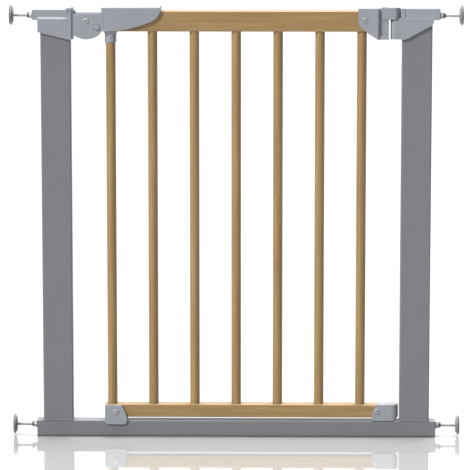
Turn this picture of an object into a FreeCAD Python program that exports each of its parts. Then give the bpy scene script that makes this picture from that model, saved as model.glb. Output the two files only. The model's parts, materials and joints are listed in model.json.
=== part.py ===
import FreeCAD, Part
import math
import os
import re
import Sketcher

# Pressure-fitted baby gate: a steel U-frame held between two walls by four screw
# spindles, and a beech panel that hinges on the right post and latches on the left one.
# Millimetres. +X runs from the latch side to the hinge side, +Y to the rear, +Z up.
# The origin is on the floor, midway between the wall pads and in the frame's mid-plane.

SIZES = {
    # steel frame
    "rail_half": 333.3, "rail_high": 27.2, "rail_wall": 1.5, "tube_deep": 22.0, "tube_round": 2.5,
    "post_inner": 272.5, "post_wide": 50.0, "post_top": 713.4, "post_wall": 1.5,
    # wall spindles
    "upper_axis": 706.8, "lower_axis": 18.5, "pad_face": 373.4, "pad_radius": 16.75,
    "pad_thick": 6.5, "rubber_thick": 1.5, "rubber_radius": 15.0, "rod_radius": 2.95,
    "rod_inner_end": 300.0, "nut_bore": 3.03, "nut_flats": 10.0, "nut_hex_long": 5.0,
    "nut_long": 8.2, "nut_skirt": 4.4, "nut_nose": 3.6, "bush_radius": 5.5, "bush_bore": 3.0,
    "bush_long": 17.0, "bush_collar": 6.8, "bush_collar_thick": 1.0, "running_gap": 0.3,
    "plug_long": 14.0,
    # beech panel
    "wood_deep": 20.0, "wood_round": 2.0, "low_wood_base": 32.3, "low_wood_top": 54.5,
    "top_wood_base": 680.5, "top_wood_top": 714.7, "top_wood_left": -215.5,
    "top_wood_right": 231.0, "low_wood_left": -217.3, "low_wood_right": 236.0,
    "dowel_radius": 8.0, "dowel_step": 69.0, "dowel_sink": 9.0, "glue_gap": 0.05,
    "tenon_end": 249.0, "tenon_half": 7.5, "tenon_base": 35.5, "tenon_top": 51.5,
    # hinge line
    "hinge_x": 259.0, "pin_radius": 3.95, "pin_bore": 4.0, "washer_bore": 4.1,
    "washer_thick": 1.0, "upper_washer_base": 699.5, "upper_washer_radius": 6.4,
    "low_washer_radius": 8.0, "upper_pin_base": 686.0, "upper_pin_top": 716.0,
    "low_pin_base": 23.7, "low_pin_top": 43.0, "pin_foot_radius": 7.0,
    # latch receiver on the left post and hinge bracket on the right post
    "casting_half": 15.0, "band_half": 12.0, "flange_half": 15.4, "socket_gap": 0.05, "socket_base": 600.0,
    "casting_base": 667.2, "flange_top": 719.4, "flange_thick": 3.6, "flange_cap": 8.4,
    "ledge_low": 701.7, "ledge_high": 704.7,
    "receiver_left": -326.6, "receiver_right": -271.2, "band_left": -335.1, "band_top": 716.2,
    "keeper_face": -268.4, "keeper_groove": 0.9, "keeper_inset": 0.7, "bolt_room": 0.5,
    "bracket_left": 270.4, "bracket_right": 334.9, "bracket_top": 718.9, "bracket_ledge": 702.5,
    "bracket_band_half": 14.2,
    "nose_half": 7.6, "nose_centre": 261.5, "nose_base": 668.0, "nose_top": 699.4,
    # latch head and handle
    "pivot_x": -246.7, "pivot_z": 698.2, "pivot_radius": 3.0, "pivot_bore": 3.06,
    "pivot_head": 5.0, "head_left": -268.0, "head_top": 709.8, "cheek_outer": 14.5,
    "cheek_inner": 8.6, "head_seam": 28.6, "blade_seam": 28.9, "head_round": 33.5,
    "head_round_z": 701.5, "bolt_half": 4.7, "bolt_base": 676.0, "bolt_top": 686.0,
    "bolt_nose": -276.0, "bolt_tail": -240.0, "tail_slope": 3.0, "finger_drop": 16.0, "finger_radius": 3.0,
    "slot_half": 3.7, "lift": 10.0, "blade_half": 14.8, "blade_inner": 12.6, "blade_top": 719.9,
    "blade_under": 716.6, "blade_tip": -123.4, "blade_left": -221.9, "lip_top": 723.1, "arm_front": 7.0,
    "arm_end": -216.8, "seam_rise": 12.2, "seam_drop": 17.0, "arm_rear": 4.0, "boss_radius": 10.5,
    # safety button
    "button_x": -228.7, "button_z": 687.6, "button_radius": 5.0, "button_hole": 5.6,
    "button_out": 16.2, "button_in": 6.0, "button_flange": 6.6, "button_seat": 8.3,
    # fasteners
    "screw_head": 4.7, "screw_head_high": 1.5, "screw_shank": 2.0, "small_shank": 1.6,
    # fittings on the panel
    "cap_half": 14.0, "cap_top": 718.9, "neck_half": 8.0, "neck_end": 251.0, "knuckle_left": 239.1,
    "knuckle_base": 700.7, "knuckle_top": 720.0, "knuckle_half": 9.5, "knuckle_fix_x": 245.0,
    "foot_half": 11.8, "foot_base": 27.5, "foot_top": 54.7,
    "foot_left": 228.0, "catch_half": 14.2, "catch_left": -219.6, "catch_right": -182.3,
    "catch_top": 53.2, "catch_base": 20.6, "fork_half": 11.5, "fork_top": 27.8,
    "ferrule_base": 662.2, "ferrule_radius": 9.45, "ferrule_flare": 12.3, "rim_top": 675.6,
    "head_round_x": -246.4, "rim_seam": 0.0, "tab_right": -195.0, "tab_base": 690.3, "tab_top": 697.7,
    "tab_outer": 12.0,
}

doc = FreeCAD.newDocument("BabyGate")
sheet = doc.addObject("Spreadsheet::Sheet", "Sizes")
for row, (alias, number) in enumerate(SIZES.items(), start=1):
    sheet.set("A%d" % row, alias)
    sheet.set("B%d" % row, str(number))
    sheet.setAlias("B%d" % row, alias)
doc.recompute()

NODES = []


def linked(formula):
    """A formula on alias names, with each alias pointed at its cell of the sheet."""
    return re.sub(r"[a-z_]+", lambda word: "Sizes." + word[0] if word[0] in SIZES else word[0], str(formula))


def worth(formula):
    """The number that a formula gives now."""
    return float(sheet.evalExpression(linked(formula)))


def bind(thing, **formulas):
    """Bind properties of an object to formulas; a double underscore stands for a dot."""
    for path, formula in formulas.items():
        thing.setExpression(path.replace("__", "."), linked(formula))
    return thing


def place(thing, x, y, z):
    return bind(thing, Placement__Base__x=x, Placement__Base__y=y, Placement__Base__z=z)


def node(thing, label):
    """Name an object as one sub-part of the gate."""
    thing.Label = label
    NODES.append(thing)
    return thing


def box(name, x, y, z):
    """A block between pairs of formulas along X, Y and Z."""
    block = doc.addObject("Part::Box", name)
    spans = ["(%s) - (%s)" % (pair[1], pair[0]) for pair in (x, y, z)]
    bind(block, Length=spans[0], Width=spans[1], Height=spans[2])
    return place(block, x[0], y[0], z[0])


TURNS = {
    "X": FreeCAD.Rotation(FreeCAD.Vector(0, 1, 0), 90),
    "Y": FreeCAD.Rotation(FreeCAD.Vector(1, 0, 0), -90),
    "Z": FreeCAD.Rotation(),
}


def rod(name, axis, radius, span, across, tip=None):
    """A round bar along an axis over a span; across holds the other two coordinates in order.

    With tip it is a cone whose radius at the end of the span is tip.
    """
    bar = doc.addObject("Part::Cylinder" if tip is None else "Part::Cone", name)
    bar.Placement.Rotation = TURNS[axis]
    if tip is None:
        bind(bar, Radius=radius)
    else:
        bind(bar, Radius1=radius, Radius2=tip)
    bind(bar, Height="(%s) - (%s)" % (span[1], span[0]))
    spots = {"X": (span[0],) + across, "Y": (across[0], span[0], across[1]), "Z": across + (span[0],)}
    return place(bar, *spots[axis])


def fuse(name, *parts):
    joined = doc.addObject("Part::MultiFuse", name)
    joined.Shapes = list(parts)
    joined.Refine = True
    return joined


def group(name, *parts):
    """Separate identical pieces kept together as one compound."""
    kept = doc.addObject("Part::Compound", name)
    kept.Links = list(parts)
    return kept


def cut(name, base, *tools):
    result = doc.addObject("Part::Cut", name)
    result.Base = base
    result.Tool = tools[0] if len(tools) == 1 else fuse(name + "_tools", *tools)
    result.Refine = True
    return result


def common(name, base, tool):
    result = doc.addObject("Part::Common", name)
    result.Base = base
    result.Tool = tool
    return result


def mirrored(name, source):
    """The rear copy of a front piece, mirrored in the frame's mid-plane."""
    copy = doc.addObject("Part::Mirroring", name)
    copy.Source = source
    copy.Normal = FreeCAD.Vector(0, 1, 0)
    return copy


def rounded(name, source, radius, wanted):
    """Fillet the edges of a source that pass a test on their shape."""
    doc.recompute()
    soft = doc.addObject("Part::Fillet", name)
    soft.Base = source
    size = worth(radius)
    picked = [(number, size, size) for number, edge in enumerate(source.Shape.Edges, start=1) if wanted(edge)]
    soft.Edges = picked
    return soft


def along(axis):
    """A test that picks straight edges that run along an axis."""
    direction = {"X": (1, 0, 0), "Y": (0, 1, 0), "Z": (0, 0, 1)}[axis]
    wanted = FreeCAD.Vector(*direction)

    def test(edge):
        if len(edge.Vertexes) < 2 or not isinstance(edge.Curve, Part.Line):
            return False
        run = edge.Vertexes[1].Point - edge.Vertexes[0].Point
        return abs(run.dot(wanted)) > 0.999 * run.Length
    return test


def profile(body, name, plane, points):
    """A closed sketch through points given as pairs of formulas.

    A third item on a point is the radius of the arc that arrives there from the point
    before; a negative radius bulges to the other side.
    """
    sketch = body.newObject("Sketcher::SketchObject", name)
    base = [part for part in body.Origin.OriginFeatures if part.Role == plane][0]
    sketch.AttachmentSupport = [(base, "")]
    sketch.MapMode = "FlatFace"
    spots = [FreeCAD.Vector(worth(point[0]), worth(point[1]), 0) for point in points]
    ends = []
    for index, point in enumerate(points):
        start, stop = spots[index - 1], spots[index]
        if len(point) < 3:
            sketch.addGeometry(Part.LineSegment(start, stop), False)
            ends.append((1, 2))
            continue
        radius = worth(point[2])
        chord = stop - start
        rise = math.sqrt(radius * radius - chord.Length ** 2 / 4)
        side = FreeCAD.Vector(-chord.y, chord.x, 0).normalize() * math.copysign(1, radius)
        centre = (start + stop) * 0.5 + side * rise
        middle = centre - side * abs(radius)
        sketch.addGeometry(Part.ArcOfCircle(start, middle, stop), False)
        ends.append((2, 1) if radius < 0 else (1, 2))
    count = len(points)
    for index in range(count):
        after = (index + 1) % count
        sketch.addConstraint(Sketcher.Constraint("Coincident", index, ends[index][1], after, ends[after][0]))
    for index, point in enumerate(points):
        for kind, formula in (("DistanceX", point[0]), ("DistanceY", point[1])):
            held = sketch.addConstraint(Sketcher.Constraint(kind, -1, 1, index, ends[index][1], worth(formula)))
            sketch.setExpression("Constraints[%d]" % held, linked(formula))
        if len(point) == 3:
            size = Sketcher.Constraint("Radius", index, abs(worth(point[2])))
            held = sketch.addConstraint(size)
            sketch.setExpression("Constraints[%d]" % held, linked("abs(%s)" % point[2]))
    return sketch


def plate(name, points, half=None, span=None):
    """A plate with an outline in the XZ plane, centred on the mid-plane or over a Y span."""
    body = doc.addObject("PartDesign::Body", name)
    sketch = profile(body, name + "_outline", "XZ_Plane", points)
    pad = body.newObject("PartDesign::Pad", name + "_pad")
    pad.Profile = sketch
    if span is None:
        pad.SideType = "Symmetric"
        bind(pad, Length="2 * (%s)" % half)
        return body
    # The XZ plane's normal points to the front, so a pad grows towards -Y.
    bind(pad, Length="(%s) - (%s)" % (span[1], span[0]))
    bind(body, Placement__Base__y=span[1])
    return body


def tube(name, plane, half_wide, half_deep, length, centre, start, wall):
    """A rounded rectangular steel tube: wide and deep are in its section, length along it."""
    body = doc.addObject("PartDesign::Body", name)
    sketch = body.newObject("Sketcher::SketchObject", name + "_section")
    base = [part for part in body.Origin.OriginFeatures if part.Role == plane][0]
    sketch.AttachmentSupport = [(base, "")]
    sketch.MapMode = "FlatFace"
    for inset in ("0", wall):
        loop = sketch.GeometryCount
        right = worth("%s - (%s)" % (half_wide, inset))
        top = worth("%s - (%s)" % (half_deep, inset))
        corners = [(-right, -top), (right, -top), (right, top), (-right, top)]
        for index in range(4):
            start_point = FreeCAD.Vector(*corners[index], 0)
            stop_point = FreeCAD.Vector(*corners[(index + 1) % 4], 0)
            sketch.addGeometry(Part.LineSegment(start_point, stop_point), False)
        for index in range(4):
            link = Sketcher.Constraint("Coincident", loop + index, 2, loop + (index + 1) % 4, 1)
            sketch.addConstraint(link)
        for index in range(4):
            level = "Horizontal" if index % 2 == 0 else "Vertical"
            sketch.addConstraint(Sketcher.Constraint(level, loop + index))
        sketch.addConstraint(Sketcher.Constraint("Symmetric", loop, 1, loop + 1, 2, -1, 1))
        wide = sketch.addConstraint(Sketcher.Constraint("DistanceX", loop, 1, loop, 2, 2 * right))
        deep = sketch.addConstraint(Sketcher.Constraint("DistanceY", loop + 1, 1, loop + 1, 2, 2 * top))
        sketch.setExpression("Constraints[%d]" % wide, linked("2 * (%s - (%s))" % (half_wide, inset)))
        sketch.setExpression("Constraints[%d]" % deep, linked("2 * (%s - (%s))" % (half_deep, inset)))
    pad = body.newObject("PartDesign::Pad", name + "_pad")
    pad.Profile = sketch
    bind(pad, Length=length)
    doc.recompute()
    half = worth(half_wide)
    deep = worth(half_deep)
    outer = []
    for number, edge in enumerate(pad.Shape.Edges, start=1):
        middle = edge.CenterOfMass
        across = (middle.y, middle.z) if plane == "YZ_Plane" else (middle.x, middle.y)
        if abs(abs(across[0]) - half) < 0.01 and abs(abs(across[1]) - deep) < 0.01:
            outer.append("Edge%d" % number)
    soft = body.newObject("PartDesign::Fillet", name + "_round")
    soft.Base = (pad, outer)
    bind(soft, Radius="tube_round")
    spots = (start, "0", centre) if plane == "YZ_Plane" else (centre, "0", start)
    return place(body, *spots)


def taper(name, x, halves, z):
    """A ridge along X whose half depth changes from the first value at its base to the second at its top."""
    wedge = doc.addObject("Part::Wedge", name)
    wedge.Placement.Rotation = FreeCAD.Rotation(FreeCAD.Vector(1, 0, 0), 90)
    bind(wedge, Xmin=x[0], X2min=x[0], Xmax=x[1], X2max=x[1], Ymin=z[0], Ymax=z[1])
    bind(wedge, Zmin="-(%s)" % halves[0], Zmax=halves[0], Z2min="-(%s)" % halves[1], Z2max=halves[1])
    return wedge


def bolt_window(name, x, room):
    """The slot that the latch bolt enters, tall enough for the panel to be lifted in it."""
    return box(name, x, ("-bolt_half - (%s)" % room, "bolt_half + %s" % room),
               ("bolt_base - (%s)" % room, "bolt_top + lift + %s" % room))


SIDES = {"left": "-1", "right": "1"}
LEVELS = {"upper": "upper_axis", "lower": "lower_axis"}


# ---------------------------------------------------------------- screws that hold the castings

KEEPER_SCREWS = ("671", "704")
CASTING_SCREWS = (("290", "688"), ("308", "697"))


def keeper_holes(name, ends=("-277", "keeper_face + 1")):
    """Two small bars on the mid-plane where the keeper plate is screwed to the post."""
    return [rod("%s_fix_%d" % (name, number), "X", "small_shank", ends, ("0", level))
            for number, level in enumerate(KEEPER_SCREWS)]


def casting_holes(side):
    return [rod("%s_casting_hole_%d" % (side, number), "Y", "screw_shank", ("9", "casting_half + 1"),
                ("%s * %s" % (SIDES[side], spot[0]), spot[1]))
            for number, spot in enumerate(CASTING_SCREWS)]


def casting_post_holes(side):
    return [rod("%s_post_hole_%d" % (side, number), "Y", "screw_shank", ("8", "tube_deep / 2 + 1"),
                ("%s * %s" % (SIDES[side], spot[0]), spot[1]))
            for number, spot in enumerate(CASTING_SCREWS)]


def casting_screws(side):
    """Pan-head screws that hold a casting to the rear wall of its post."""
    screws = []
    for number, spot in enumerate(CASTING_SCREWS):
        name = "%s_casting_screw_%d" % (side, number)
        centre = ("%s * %s" % (SIDES[side], spot[0]), spot[1])
        shank = rod(name + "_shank", "Y", "screw_shank", ("9", "casting_half"), centre)
        head = rod(name + "_head", "Y", "screw_head", ("casting_half", "casting_half + screw_head_high"),
                   centre)
        screws.append(fuse(name, shank, head))
    return screws


# ---------------------------------------------------------------- steel frame

rail_tube = tube("rail_tube", "YZ_Plane", "tube_deep / 2", "rail_high / 2", "2 * rail_half",
                 "rail_high / 2", "-rail_half", "rail_wall")
pin_hole = rod("rail_pin_hole", "Z", "pin_radius", ("rail_high - 4", "rail_high + 1"), ("hinge_x", "0"))
node(cut("rail_cut", rail_tube, pin_hole), "bottom_rail")


def post(side):
    sign = SIDES[side]
    centre = "%s * (post_inner + post_wide / 2)" % sign
    pipe = tube(side + "_tube", "XY_Plane", "post_wide / 2", "tube_deep / 2", "post_top - rail_high",
                centre, "rail_high", "post_wall")
    outer = sorted(("%s * (post_inner + post_wide - 3)" % sign, "%s * (post_inner + post_wide + 2)" % sign),
                   key=worth)
    holes = [rod(side + "_spindle_hole", "X", "bush_radius", outer, ("0", "upper_axis"))]
    if side == "left":
        holes.append(bolt_window("post_window", ("-post_inner - 3", "-post_inner + 1"), "bolt_room + 0.3"))
        holes += keeper_holes("post")
    holes += casting_post_holes(side)
    node(cut(side + "_post_cut", pipe, *holes), side + "_post")


def end_plug(side):
    """A plastic block that closes the end of the bottom tube and carries the lower bush."""
    sign = SIDES[side]
    ends = sorted(("%s * (rail_half - plug_long)" % sign, "%s * rail_half" % sign), key=worth)
    inner = "tube_deep / 2 - rail_wall - glue_gap"
    block = box(side + "_plug_block", ends, ("-(%s)" % inner, inner),
                ("rail_wall + glue_gap", "rail_high - rail_wall - glue_gap"))
    hole = rod(side + "_plug_hole", "X", "bush_radius", (ends[0] + " - 1", ends[1] + " + 1"),
               ("0", "lower_axis"))
    node(cut(side + "_plug_cut", block, hole), side + "_rail_plug")


def bush(side, level):
    """A collared plastic sleeve that guides one spindle."""
    name = "%s_%s_bush" % (level, side)
    sign = SIDES[side]
    face = "(-band_left)" if level == "upper" else "rail_half"
    if (side, level) == ("right", "upper"):
        face = "bracket_right"
    sleeve_ends = sorted(("%s * (%s - bush_long)" % (sign, face), "%s * %s" % (sign, face)), key=worth)
    collar_ends = sorted(("%s * %s" % (sign, face), "%s * (%s + bush_collar_thick)" % (sign, face)), key=worth)
    centre = ("0", LEVELS[level])
    sleeve = rod(name + "_sleeve", "X", "bush_radius", sleeve_ends, centre)
    collar = rod(name + "_ring", "X", "bush_collar", collar_ends, centre)
    bore = rod(name + "_bore", "X", "bush_bore", (sleeve_ends[0] + " - 5", sleeve_ends[1] + " + 5"), centre)
    return cut(name, fuse(name + "_solid", sleeve, collar), bore)


for side in SIDES:
    post(side)
    end_plug(side)
bushes = [bush(side, level) for side in SIDES for level in LEVELS]
node(group("bush_set", *bushes), "spindle_bushes")

# ---------------------------------------------------------------- latch receiver

receiver_low = plate("receiver_low", [
    ("-279.9", "casting_base + 1.2"), ("-275", "casting_base"), ("receiver_right", "casting_base"),
    ("receiver_right", "ledge_low"), ("receiver_left", "ledge_low"), ("receiver_left", "679.9"),
], half="casting_half")
receiver_slope = taper("receiver_slope", ("receiver_left", "receiver_right"), ("casting_half", "band_half"),
                       ("ledge_low - 0.1", "ledge_high"))
receiver_band = box("receiver_band", ("band_left", "receiver_right"), ("-band_half", "band_half"),
                    ("ledge_low - 2", "band_top"))
receiver_flange = box("receiver_flange", ("receiver_right - flange_thick", "receiver_right"),
                      ("-flange_half", "flange_half"), ("casting_base", "flange_top"))
receiver_cap = box("receiver_cap", ("receiver_right - flange_cap", "receiver_right"),
                   ("-flange_half", "flange_half"), ("band_top - 0.5", "flange_top"))
receiver_block = fuse("receiver_block", receiver_low, receiver_slope, receiver_band, receiver_flange,
                      receiver_cap)
post_socket = box("left_socket", ("-post_inner - post_wide - socket_gap", "-post_inner + socket_gap"),
                  ("-tube_deep / 2 - socket_gap", "tube_deep / 2 + socket_gap"),
                  ("socket_base", "post_top + socket_gap"))
receiver_bore = rod("receiver_bore", "X", "bush_radius", ("band_left - 1", "-post_inner - post_wide + 1"),
                    ("0", "upper_axis"))
receiver_window = bolt_window("receiver_window", ("-post_inner - 1", "receiver_right + 1"), "bolt_room + 0.1")
node(cut("receiver_cut", receiver_block, post_socket, receiver_bore, receiver_window,
         *keeper_holes("receiver"), *casting_holes("left")), "latch_receiver")



def keeper_slab(name, x, inset):
    """A slab of the keeper plate, smaller than the receiver's flange all round by an inset."""
    half = "flange_half - %s" % inset
    return box(name, x, ("-(%s)" % half, half), ("casting_base + %s" % inset, "flange_top - %s" % inset))


keeper_back = keeper_slab("keeper_back", ("receiver_right", "receiver_right + keeper_groove"),
                          "3 * keeper_inset")
keeper_front = keeper_slab("keeper_front", ("receiver_right + keeper_groove", "keeper_face"), "keeper_inset")
keeper_window = bolt_window("keeper_window", ("receiver_right - 1", "keeper_face + 1"), "bolt_room - 0.1")
node(cut("keeper_cut", fuse("keeper_block", keeper_back, keeper_front), keeper_window, *keeper_holes("keeper")),
     "keeper_plate")
node(group("keeper_screw_set", *keeper_holes("keeper_screw", ("-276", "keeper_face"))), "keeper_screws")

# ---------------------------------------------------------------- hinge bracket

bracket_low = plate("bracket_low", [
    ("277", "casting_base + 0.9"), ("280.4", "casting_base + 2.5"), ("322.8", "692.5"), ("325.2", "699.9"),
    ("325.2", "bracket_ledge"), ("bracket_left", "bracket_ledge"), ("bracket_left", "casting_base + 0.9"),
], half="casting_half")
bracket_slope = taper("bracket_slope", ("bracket_left", "325.2"), ("casting_half", "bracket_band_half"),
                      ("bracket_ledge - 0.1", "bracket_ledge + 2"))
bracket_band = box("bracket_band", ("bracket_left", "bracket_right"),
                   ("-bracket_band_half", "bracket_band_half"),
                   ("bracket_ledge - 2", "bracket_top"))
bracket_flange = box("bracket_flange", ("bracket_left", "277"), ("-casting_half", "casting_half"),
                     ("bracket_ledge - 1", "flange_top"))
nose = rod("nose_round", "Z", "nose_half", ("nose_base", "nose_top"), ("nose_centre", "0"))
nose_neck = box("nose_neck", ("nose_centre", "bracket_left + 1"), ("-nose_half", "nose_half"),
                ("nose_base", "nose_top"))
bracket_block = fuse("bracket_block", bracket_low, bracket_slope, bracket_band, bracket_flange, nose, nose_neck)
bracket_socket = box("right_socket", ("post_inner - socket_gap", "post_inner + post_wide + socket_gap"),
                     ("-tube_deep / 2 - socket_gap", "tube_deep / 2 + socket_gap"),
                     ("socket_base", "post_top + socket_gap"))
bracket_bore = rod("bracket_bore", "X", "bush_radius", ("post_inner + post_wide - 1", "bracket_right + 1"),
                   ("0", "upper_axis"))
nose_bore = rod("nose_bore", "Z", "pin_radius", ("upper_pin_base", "nose_top + 1"), ("hinge_x", "0"))
node(cut("bracket_cut", bracket_block, bracket_socket, bracket_bore, nose_bore,
         *casting_holes("right")), "hinge_bracket")
node(group("casting_screw_set", *[screw for side in SIDES for screw in casting_screws(side)]), "casting_screws")

# ---------------------------------------------------------------- hinge pins and washers

upper_pin = rod("upper_pin", "Z", "pin_radius", ("upper_pin_base", "upper_pin_top"), ("hinge_x", "0"))
node(upper_pin, "upper_hinge_pin")
low_pin_shaft = rod("low_pin_shaft", "Z", "pin_radius", ("low_pin_base", "low_pin_top"), ("hinge_x", "0"))
low_pin_foot = rod("low_pin_foot", "Z", "pin_foot_radius", ("low_pin_base", "rail_high - rail_wall"),
                   ("hinge_x", "0"))
node(fuse("low_pin", low_pin_shaft, low_pin_foot), "lower_hinge_pin")


def washer(name, radius, base):
    ring = rod(name + "_disc", "Z", radius, (base, base + " + washer_thick"), ("hinge_x", "0"))
    hole = rod(name + "_hole", "Z", "washer_bore", (base + " - 1", base + " + washer_thick + 1"),
               ("hinge_x", "0"))
    return cut(name, ring, hole)


washers = [washer("upper_washer", "upper_washer_radius", "upper_washer_base"),
           washer("lower_washer", "low_washer_radius", "rail_high + 0.05")]
node(group("washer_set", *washers), "hinge_washers")

# ---------------------------------------------------------------- fasteners through the panel

PANEL_BOLTS = {
    "cap_bolt": ("211.8", "699.8", "cap_half"),
    "catch_bolt": ("-200.7", "41.6", "catch_half"),
    "foot_bolt": ("235.7", "43.2", "foot_half"),
}
TAB_SCREWS = ("-210.5", "-200.5")


def bolt_hole(bolt, piece):
    x, z, _ = PANEL_BOLTS[bolt]
    return rod("%s_%s_hole" % (bolt, piece), "Y", "screw_shank", ("-20", "20"), (x, z))


def panel_bolt(bolt):
    """A through bolt with a low round head on each face."""
    x, z, face = PANEL_BOLTS[bolt]
    shank = rod(bolt + "_shank", "Y", "screw_shank", ("-" + face, face), (x, z))
    front = rod(bolt + "_front", "Y", "screw_head", ("-%s - screw_head_high" % face, "-" + face), (x, z))
    rear = rod(bolt + "_rear", "Y", "screw_head", (face, face + " + screw_head_high"), (x, z))
    return fuse(bolt, shank, front, rear)


def tab_screws(name, reach):
    """Bars across the latch head's two tabs and the rail between them."""
    return [rod("%s_%d" % (name, number), "Y", "small_shank", ("-(%s)" % reach, reach),
                (x, "(tab_base + tab_top) / 2"))
            for number, x in enumerate(TAB_SCREWS)]


# ---------------------------------------------------------------- beech panel

DOWELS = range(1, 8)


def dowel_x(number):
    return "%d * dowel_step" % (number - 4)


def rail_of_wood(name, x, z, sink):
    """A beech rail with rounded long edges and a blind hole for each dowel."""
    block = box(name + "_block", x, ("-wood_deep / 2", "wood_deep / 2"), z)
    soft = rounded(name + "_soft", block, "wood_round", along("X"))
    holes = [rod("%s_hole_%d" % (name, number), "Z", "dowel_radius + glue_gap", sink, (dowel_x(number), "0"))
             for number in DOWELS]
    return soft, holes


top_rail, top_holes = rail_of_wood("top_rail", ("top_wood_left", "top_wood_right"),
                                   ("top_wood_base", "top_wood_top"),
                                   ("top_wood_base - 1", "top_wood_base + dowel_sink + glue_gap"))
node(cut("top_rail_cut", top_rail, *top_holes, bolt_hole("cap_bolt", "top"),
         *tab_screws("tab_hole", "wood_deep")), "top_rail")
low_rail, low_holes = rail_of_wood("low_rail", ("low_wood_left", "low_wood_right"),
                                   ("low_wood_base", "low_wood_top"),
                                   ("low_wood_top - dowel_sink - glue_gap", "low_wood_top + 1"))
tenon = box("tenon", ("low_wood_right - 2", "tenon_end"), ("-tenon_half", "tenon_half"),
            ("tenon_base", "tenon_top"))
node(cut("low_rail_cut", fuse("low_rail_tenon", low_rail, tenon), *low_holes,
         bolt_hole("catch_bolt", "wood"), bolt_hole("foot_bolt", "wood")), "bottom_wood_rail")

for number in DOWELS:
    stick = rod("stick_%d" % number, "Z", "dowel_radius",
                ("low_wood_top - dowel_sink", "top_wood_base + dowel_sink"), (dowel_x(number), "0"))
    node(stick, "dowel_%d" % number)

# ---------------------------------------------------------------- latch head on the panel

head_plate = plate("head_plate", [
    ("head_left", "676"), ("-223.6", "677", "head_round"), ("-223.6", "681.4"),
    ("-220.6", "head_top", "head_seam"), ("head_left", "head_top"),
], span=("-cheek_outer", "-cheek_inner"))
RIM_REACH = "sqrt(head_round ^ 2 - (head_round_z - rim_top) ^ 2)"
head_rim = plate("head_rim", [
    ("head_round_x - " + RIM_REACH, "rim_top"), ("head_round_x + " + RIM_REACH, "rim_top", "head_round"),
], span=("-cheek_inner", "-rim_seam"))
head_back = plate("head_back", [
    ("head_left", "bolt_top + 0.6"), ("head_left + 2.4", "bolt_top + 0.6"), ("-262", "head_top"),
    ("head_left + 2", "head_top + 5"), ("head_left", "head_top + 5"),
], span=("-cheek_inner", "-rim_seam"))
head_guide = box("head_guide", ("head_left", "bolt_tail + 2"), ("-cheek_inner", "-bolt_half - 0.3"),
                 ("rim_top", "bolt_top + 0.6"))
head_tab = box("head_tab", ("-224", "tab_right"), ("-tab_outer", "-wood_deep / 2 - glue_gap"),
               ("tab_base", "tab_top"))
head_half = fuse("head_half", head_plate, head_rim, head_back, head_guide, head_tab)
PIVOT = ("pivot_x", "pivot_z")
BUTTON = ("button_x", "button_z")
pivot_hole = rod("pivot_hole", "Y", "pivot_radius", ("-20", "20"), PIVOT)
plain_half = cut("plain_half", head_half, pivot_hole, *tab_screws("half_hole", "tab_outer + 1"))
button_hole = rod("button_hole_bar", "Y", "button_hole", ("-20", "-5"), BUTTON)
node(cut("front_half", plain_half, button_hole), "latch_head_front")
button_stop = rod("button_stop", "Y", "button_radius - 0.8", ("rim_seam", "cheek_inner + 1"), BUTTON)
node(fuse("rear_half", mirrored("rear_mirror", plain_half), button_stop), "latch_head_rear")
node(group("tab_screw_set", *tab_screws("tab_screw", "tab_outer")), "latch_head_screws")

pin_shank = rod("pin_shank", "Y", "pivot_radius", ("-cheek_outer", "cheek_outer"), PIVOT)
pin_front = rod("pin_front", "Y", "pivot_head", ("-cheek_outer - 1.3", "-cheek_outer"), PIVOT)
pin_rear = rod("pin_rear", "Y", "pivot_head - 0.8", ("cheek_outer", "cheek_outer + 1"), PIVOT)
node(fuse("pivot_pin", pin_shank, pin_front, pin_rear), "handle_pivot_pin")

spring_disc = rod("spring_disc", "Y", "6.4", ("arm_rear + 0.35", "cheek_inner - 0.1"), PIVOT)
spring_eye = rod("spring_eye", "Y", "4.2", ("arm_rear - 1", "cheek_inner + 1"), PIVOT)
node(cut("spring_ring", spring_disc, spring_eye), "handle_spring")

ferrule_ring = rod("ferrule_ring", "Z", "ferrule_radius", ("ferrule_base", "top_wood_base"), (dowel_x(1), "0"))
ferrule_flare = rod("ferrule_flare_cone", "Z", "ferrule_radius", ("top_wood_base - 5", "top_wood_base"),
                    (dowel_x(1), "0"), tip="ferrule_flare")
ferrule_bore = rod("ferrule_bore", "Z", "dowel_radius", ("ferrule_base - 1", "top_wood_base + 1"),
                   (dowel_x(1), "0"))
node(cut("ferrule_cut", fuse("ferrule_solid", ferrule_ring, ferrule_flare), ferrule_bore), "dowel_ferrule")

# ---------------------------------------------------------------- safety button

button_cap = rod("button_cap", "Y", "button_radius", ("-button_out", "-button_in"), BUTTON)
button_rim = rod("button_rim", "Y", "button_flange", ("-button_seat", "-button_seat + 1.3"), BUTTON)
node(fuse("button_solid", button_cap, button_rim), "thumb_button")
coil = rod("coil", "Y", "3.4", ("-button_in + 0.05", "rim_seam - 0.05"), BUTTON)
coil_eye = rod("coil_eye", "Y", "2.4", ("-button_in - 1", "rim_seam + 1"), BUTTON)
node(cut("coil_cut", coil, coil_eye), "button_spring")

# ---------------------------------------------------------------- handle and latch bolt

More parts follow.
